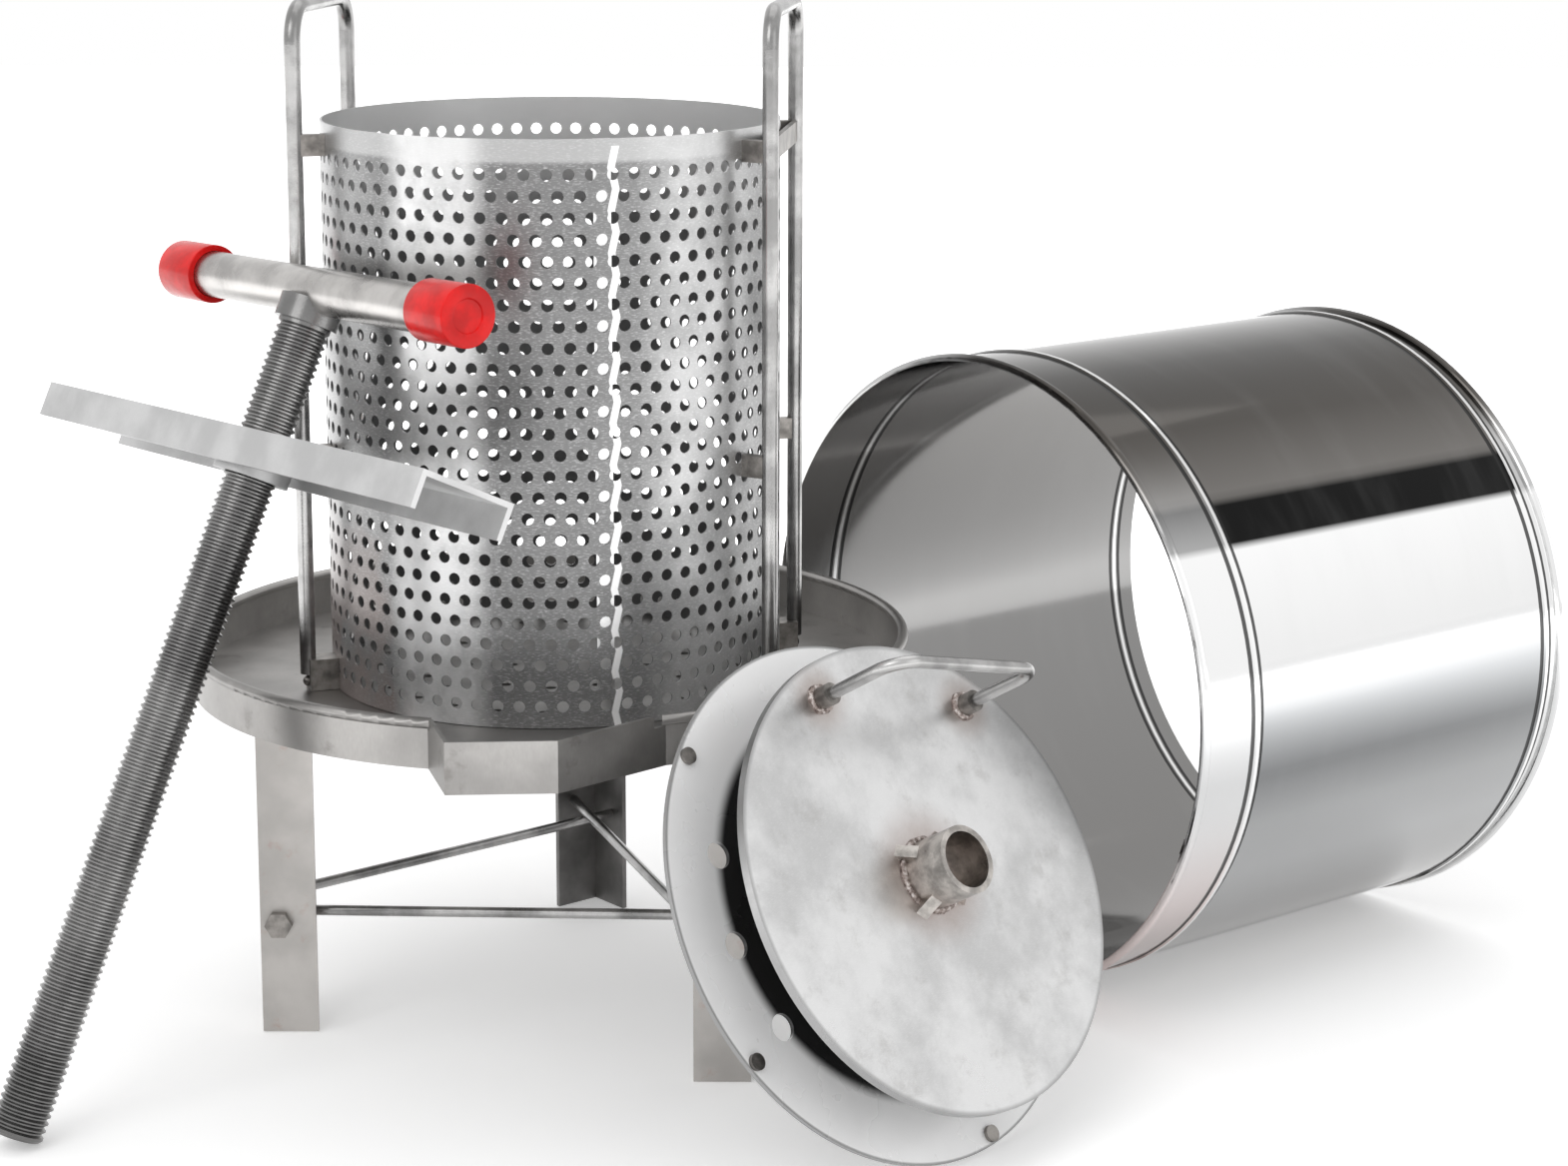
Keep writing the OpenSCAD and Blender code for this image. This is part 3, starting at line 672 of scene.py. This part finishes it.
class PRESS_OT_basket_wall(bpy.types.Operator):
    """Punches the basket wall from one staggered cell, and rolls it round"""

    bl_idname = "press.basket_wall"
    bl_label = "Perforated basket wall"

    def execute(self, context):
        sizes = context.scene.press_basket
        self.pitch = 2 * math.pi * BASKET_R / sizes.holes_round
        self.last_row = BASKET_HIGH.z - BASKET_LOW.z - sizes.top_band - sizes.low_band
        self.row = self.last_row / (2 * sizes.row_pairs - 1)
        self.stretch = self.row / (self.pitch * math.sqrt(3) / 2)
        wall = self.cell(sizes.hole_d / 2)
        self.roll(wall, sizes)
        self.bands(sizes)
        self.stand(wall, sizes.low_band)
        add_modifier(wall, "sheet", "SOLIDIFY", thickness=sizes.sheet, offset=-1)
        apply_modifiers(wall)
        bpy.ops.object.shade_smooth_by_angle(angle=math.radians(30))
        dress(wall.data, basket_sheet())
        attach(wall, "basket")
        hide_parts("basket_wall")
        return {"FINISHED"}

    def cell(self, hole_r):
        """Two staggered holes, each in its own six-sided cell."""
        half = self.pitch / 2
        deselect()
        bpy.ops.mesh.primitive_circle_add(
            vertices=12, radius=hole_r, rotation=(math.pi / 2, 0, 0)
        )
        wall = bpy.context.object
        wall.name = "punched_wall"
        bpy.ops.object.transform_apply(rotation=True)
        edit()
        select_all()
        bpy.ops.mesh.extrude_region_move()
        out = half / hole_r
        self.resize(out, out, out)
        select_where(lambda v: v.co.length > 0.8 * half and is_corner(v.co))
        reach = 2 / math.sqrt(3)
        self.resize(reach, reach, reach)
        select_where(lambda v: v.co.length > 0.8 * half)
        self.resize(1, 1, self.stretch)
        select_all()
        bpy.ops.mesh.duplicate_move(TRANSFORM_OT_translate={"value": (half, 0, self.row)})
        leave_edit()
        return wall

    def resize(self, x, y, z, centre=(0, 0, 0)):
        bpy.ops.transform.resize(value=(x, y, z), center_override=centre)

    def roll(self, wall, sizes):
        """Repeats the cell along and up, rolls the sheet round and joins its edges."""
        for name, count, step in (
            ("round", sizes.holes_round, (self.pitch, 0, 0)),
            ("rows", sizes.row_pairs, (0, 0, 2 * self.row)),
        ):
            add_modifier(
                wall,
                name,
                "ARRAY",
                count=count,
                use_relative_offset=False,
                use_constant_offset=True,
                constant_offset_displace=step,
            )
        turn = 2 * math.pi * (sizes.holes_round + 0.5) / sizes.holes_round
        add_modifier(
            wall, "roll", "SIMPLE_DEFORM", deform_method="BEND", deform_axis="Z", angle=turn
        )
        apply_modifiers(wall)
        edit()
        select_all()
        bpy.ops.mesh.remove_doubles(threshold=0.0002)

    def bands(self, sizes):
        """Draws the open edges out to the plain bands above and below the holes."""
        step = 0.5 * (sizes.hole_d / 2 + 0.5 * self.pitch / math.sqrt(3) * self.stretch)
        for sign, start, end in (
            (1, self.last_row, self.last_row + sizes.top_band),
            (-1, 0.0, -sizes.low_band),
        ):
            select_where(
                lambda e: e.is_boundary
                and all((v.co.z - start) * sign > step for v in e.verts),
                "edges",
            )
            bpy.ops.mesh.extrude_region_move()
            self.resize(1, 1, 0, (0, 0, end))
        select_all()
        bpy.ops.mesh.normals_make_consistent(inside=False)
        leave_edit()

    def stand(self, wall, low_band):
        """Stands the wall on the basket's axis and turns its faces outward."""
        corners = [v.co for v in wall.data.vertices]
        middle_x = (min(c.x for c in corners) + max(c.x for c in corners)) / 2
        middle_y = (min(c.y for c in corners) + max(c.y for c in corners)) / 2
        wall.location = (
            BASKET_AXIS.x - middle_x,
            BASKET_AXIS.y - middle_y,
            BASKET_LOW.z + low_band,
        )
        settle(wall)
        outward = sum(
            p.normal.x * (p.center.x - BASKET_AXIS.x) + p.normal.y * (p.center.y - BASKET_AXIS.y)
            for p in wall.data.polygons
        )
        if outward < 0:
            edit()
            select_all()
            bpy.ops.mesh.flip_normals()
            leave_edit()


def is_corner(point):
    """Whether a point of the twelve-sided outline is one of the cell's six corners."""
    turn = math.degrees(math.atan2(point.z, point.x)) % 60
    return abs(turn - 30) < 10


class PRESS_OT_grip_caps(bpy.types.Operator):
    """Moulds the two red caps on the ends of the handle tube"""

    bl_idname = "press.grip_caps"
    bl_label = "Red caps"

    def execute(self, context):
        sizes = context.scene.press_trim
        left, right = "handle_cap_left", "handle_cap_right"
        along = (middle_of(node_points(right)) - middle_of(node_points(left))).normalized()
        finish = red_plastic(sizes.cap_colour)
        for name, way in ((left, -along), (right, along)):
            cap = self.mould(name, way, sizes.cap_edge)
            dress(cap.data, finish)
            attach(cap, "screw")
            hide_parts(name)
        return {"FINISHED"}

    def mould(self, name, way, edge):
        """One cap where its CAD node stands, dished at its outer end and open at the tube."""
        points = node_points(name)
        centre = middle_of(points)
        reach = [(p - centre).dot(way) for p in points]
        radius = max(((p - centre) - way * (p - centre).dot(way)).length for p in points)
        deselect()
        bpy.ops.mesh.primitive_cylinder_add(
            vertices=48,
            radius=radius,
            depth=max(reach) - min(reach),
            location=centre + way * (max(reach) + min(reach)) / 2,
            rotation=tilt_to(way),
        )
        cap = bpy.context.object
        cap.name = name + "_moulding"
        edit("FACE")
        select_where(lambda f: len(f.verts) > 4 and f.calc_center_median().z > 0, "faces")
        bpy.ops.mesh.inset(thickness=edge * 1.7)
        bpy.ops.mesh.extrude_region_move(
            TRANSFORM_OT_translate={"value": (0, 0, -CAP_DISH), "orient_type": "LOCAL"}
        )
        bpy.ops.mesh.inset(thickness=CAP_SLOPE)
        select_where(lambda f: len(f.verts) > 4 and f.calc_center_median().z < 0, "faces")
        bpy.ops.mesh.inset(thickness=radius - CAP_HOLE_R)
        bpy.ops.mesh.delete(type="FACE")
        leave_edit()
        add_modifier(
            cap,
            "edge",
            "BEVEL",
            width=edge * 0.5,
            segments=4,
            limit_method="ANGLE",
            angle_limit=math.radians(50),
        )
        apply_modifiers(cap)
        settle(cap)
        bpy.ops.object.shade_smooth_by_angle(angle=math.radians(35))
        return cap


class PRESS_OT_weld_beads(bpy.types.Operator):
    """Lays lumpy weld beads round the screw collar and the feet of the handle"""

    bl_idname = "press.weld_beads"
    bl_label = "Weld beads"

    def execute(self, context):
        bead_r = context.scene.press_trim.bead_r
        finish = weld_metal()
        beads = [("collar_bead", tuple(DISC_FACE), COLLAR_R + bead_r * 0.3)]
        for number, foot in enumerate(feet_places(), 1):
            beads.append(("foot_bead_" + str(number), foot, FOOT_BEAD_R))
        lumps = bpy.data.textures.new("bead_lumps", "CLOUDS")
        lumps.noise_scale = 0.004
        for name, place, radius in beads:
            bead = self.lay(name, place, radius, bead_r)
            add_modifier(
                bead,
                "lumps",
                "DISPLACE",
                texture=lumps,
                texture_coords="LOCAL",
                strength=BEAD_LUMP,
                mid_level=0.5,
            )
            apply_modifiers(bead)
            bpy.ops.object.shade_smooth()
            dress(bead.data, finish)
            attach(bead, "plate")
        return {"FINISHED"}

    def lay(self, name, place, radius, bead_r):
        """One smooth bead on the press disc's face, flattened behind that face."""
        deselect()
        bpy.ops.mesh.primitive_torus_add(
            location=place,
            rotation=tilt_to(PLATE_NORMAL),
            major_radius=radius,
            minor_radius=bead_r,
            major_segments=72,
            minor_segments=12,
        )
        bead = bpy.context.object
        bead.name = name
        edit()
        select_where(lambda v: v.co.z < -0.0001)
        bpy.ops.transform.resize(value=(1, 1, 0.3), orient_type="LOCAL", center_override=place)
        leave_edit()
        settle(bead)
        return bead


class PRESS_OT_finishes(bpy.types.Operator):
    """Gives every CAD piece its metal finish"""

    bl_idname = "press.finishes"
    bl_label = "Metal finishes"

    def execute(self, context):
        tray = worn_metal("tray_satin", 0.28, 0.42, 0.38, 0.06, (1, 1, 3), 0.03, grey(0.16, 0.06))
        legs = worn_metal("leg_satin", 0.4, 0.56, 0.42, 0.06, (1, 1, 0.1), 0.04, (0.4, 0.26, 0.22))
        # The rear leg's finish is a darker copy of the legs' finish: painted shade.
        shaded_leg = worn_metal("leg_shaded", 0.16, 0.32, 0.45, 0.05, (1, 1, 0.1))
        rod = worn_metal("rod_bright", 0.26, 0.52, 0.22, 0.03, (1, 1, 0.1), 0.01)
        brace = worn_metal("brace_bright", 0.22, 0.5, 0.3, 0.03, warm=0.01)
        dark = worn_metal("fitting_dark", 0.14, 0.36, 0.4, 0.012, warm=0.06)
        thread = worn_metal("thread_steel", 0.16, 0.36, 0.26, 0.09, warm=0.01)
        tube = worn_metal("tube_brushed", 0.36, 0.62, 0.28, 0.03, (0.2, 1, 1), 0.03)
        zinc = worn_metal("zinc_coat", 0.54, 0.68, 0.5, 0.04, (0.3, 1, 1), 0.0)
        floor = worn_metal("floor_steel", 0.4, 0.62, 0.36, 0.04)
        seam = worn_metal("seam_bright", 0.7, 0.96, 0.3, 0.012, warm=0.0)
        heat = worn_metal("collar_heated", 0.3, 0.6, 0.3, 0.008, warm=0.06)
        disc = disc_sheet()
        drain = drain_sheet()
        barrel = barrel_sheet()
        finishes = {
            "tray_pan": tray,
            "pour_chute": tray,
            "leg_left": legs,
            "leg_right": legs,
            "leg_rear": shaded_leg,
            "brace_left_rear": brace,
            "brace_rear_right": brace,
            "brace_right_left": brace,
            "leg_bolts": dark,
            "leg_nuts": dark,
            "basket_wall": floor,
            "basket_floor": floor,
            "basket_seam": seam,
            "upright_left": rod,
            "upright_right": rod,
            "rim_tabs": dark,
            "rim_bridge": dark,
            "middle_tabs": dark,
            "upright_feet": dark,
            "foot_nuts": dark,
            "press_screw": thread,
            "head_saddle": thread,
            "handle_tube": tube,
            "handle_cap_left": dark,
            "handle_cap_right": dark,
            "cross_beam": zinc,
            "beam_nut": zinc,
            "press_disc": disc,
            "screw_collar": heat,
            "collar_gussets": heat,
            "plate_handle": rod,
            "handle_feet": dark,
            "plate_hub": dark,
            "drain_plate": drain,
            "drain_rivets": dark,
            "barrel_shell": barrel,
            "barrel_near_hoop": barrel,
            "barrel_far_hoop": barrel,
            "barrel_seam": barrel,
        }
        missing = sorted(set(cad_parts) ^ set(finishes))
        if missing:
            raise RuntimeError("nodes and finishes differ: " + ", ".join(missing))
        for name, finish in finishes.items():
            dress(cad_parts[name].data, finish)
        return {"FINISHED"}


class PRESS_OT_studio(bpy.types.Operator):
    """Sets up the floor, the soft lamps, the white surround and the camera"""

    bl_idname = "press.studio"
    bl_label = "Studio"

    def execute(self, context):
        scene = context.scene
        scene.view_settings.view_transform = "Standard"
        self.surround(scene)
        self.floor(scene.press_trim.floor_colour)
        for name, place, size, power in LAMPS:
            deselect()
            bpy.ops.object.light_add(type="AREA", location=place)
            lamp = context.object
            lamp.name = name
            lamp.data.size = size
            lamp.data.energy = power
            aim = LAMP_AIM - Vector(place)
            lamp.rotation_euler = aim.to_track_quat("-Z", "Y").to_euler()
        deselect()
        bpy.ops.object.camera_add(
            location=CAMERA_PLACE, rotation=[math.radians(turn) for turn in CAMERA_TURN]
        )
        scene.camera = context.object
        view = scene.camera.data
        view.sensor_width = CAMERA_SENSOR
        view.lens = CAMERA_LENS
        view.shift_y = CAMERA_SHIFT
        view.clip_start = 0.05
        return {"FINISHED"}

    def surround(self, scene):
        """White where it is looked at, and a little weaker as a light."""
        world = bpy.data.worlds.new("white_surround")
        scene.world = world
        world.use_nodes = True
        tree = world.node_tree
        tree.nodes.remove(tree.nodes["Background"])
        sky = Nodes(tree)
        light = sky.node("ShaderNodeBackground", {}, {"Color": WHITE, "Strength": 0.78})
        plain = sky.node("ShaderNodeBackground", {}, {"Color": WHITE, "Strength": 1.0})
        mixed = sky.node("ShaderNodeMixShader", {}, {0: sky.seen(), 1: light, 2: plain})
        tree.links.new(mixed.socket, tree.nodes["World Output"].inputs["Surface"])

    def floor(self, colour):
        """Pale paper, with a light of its own that grows outward until it is white."""
        deselect()
        bpy.ops.mesh.primitive_plane_add(size=FLOOR_SIZE, location=(0, 0, FLOOR_Z))
        floor = bpy.context.object
        floor.name = "studio_floor"
        finish = Finish("floor_paper", 0.0, 1.0, colour)
        finish.shader.inputs["Specular IOR Level"].default_value = 0.0
        x, y = finish.axes(finish.place())[:2]
        far = length(x, y).between(GLOW_START, GLOW_FULL) * 0.714 + 0.286
        glow = finish.node("ShaderNodeEmission", {}, {"Color": WHITE, "Strength": 1.05})
        none = finish.node("ShaderNodeEmission", {}, {"Color": WHITE, "Strength": 0.0})
        lift = finish.node("ShaderNodeMixShader", {}, {0: finish.seen() * far, 1: none, 2: glow})
        paper = Value(finish, finish.shader.outputs[0])
        both = finish.node("ShaderNodeAddShader", {}, {0: paper, 1: lift})
        out = finish.tree.nodes["Material Output"]
        finish.tree.links.new(both.socket, out.inputs["Surface"])
        floor.data.materials.append(finish.material)


class PRESS_PT_panel(bpy.types.Panel):
    bl_idname = "PRESS_PT_panel"
    bl_label = "Fruit press"
    bl_space_type = "VIEW_3D"
    bl_region_type = "UI"
    bl_category = "Fruit press"

    def draw(self, context):
        for group in (context.scene.press_basket, context.scene.press_trim):
            column = self.layout.column()
            for name in group.__annotations__:
                column.prop(group, name)
        for operator in OPERATORS:
            self.layout.operator(operator.bl_idname)


GROUPS = (PressBasketSizes, PressTrimSizes)
OPERATORS = (
    PRESS_OT_finishes,
    PRESS_OT_basket_wall,
    PRESS_OT_grip_caps,
    PRESS_OT_weld_beads,
    PRESS_OT_studio,
)


def register():
    for made in GROUPS + OPERATORS + (PRESS_PT_panel,):
        bpy.utils.register_class(made)
    bpy.types.Scene.press_basket = bpy.props.PointerProperty(type=PressBasketSizes)
    bpy.types.Scene.press_trim = bpy.props.PointerProperty(type=PressTrimSizes)


def unregister():
    del bpy.types.Scene.press_basket
    del bpy.types.Scene.press_trim
    for made in reversed(GROUPS + OPERATORS + (PRESS_PT_panel,)):
        bpy.utils.unregister_class(made)


def main():
    register()
    bpy.ops.press.finishes()
    bpy.ops.press.basket_wall()
    bpy.ops.press.grip_caps()
    bpy.ops.press.weld_beads()
    bpy.ops.press.studio()


if __name__ == "__main__":
    main()
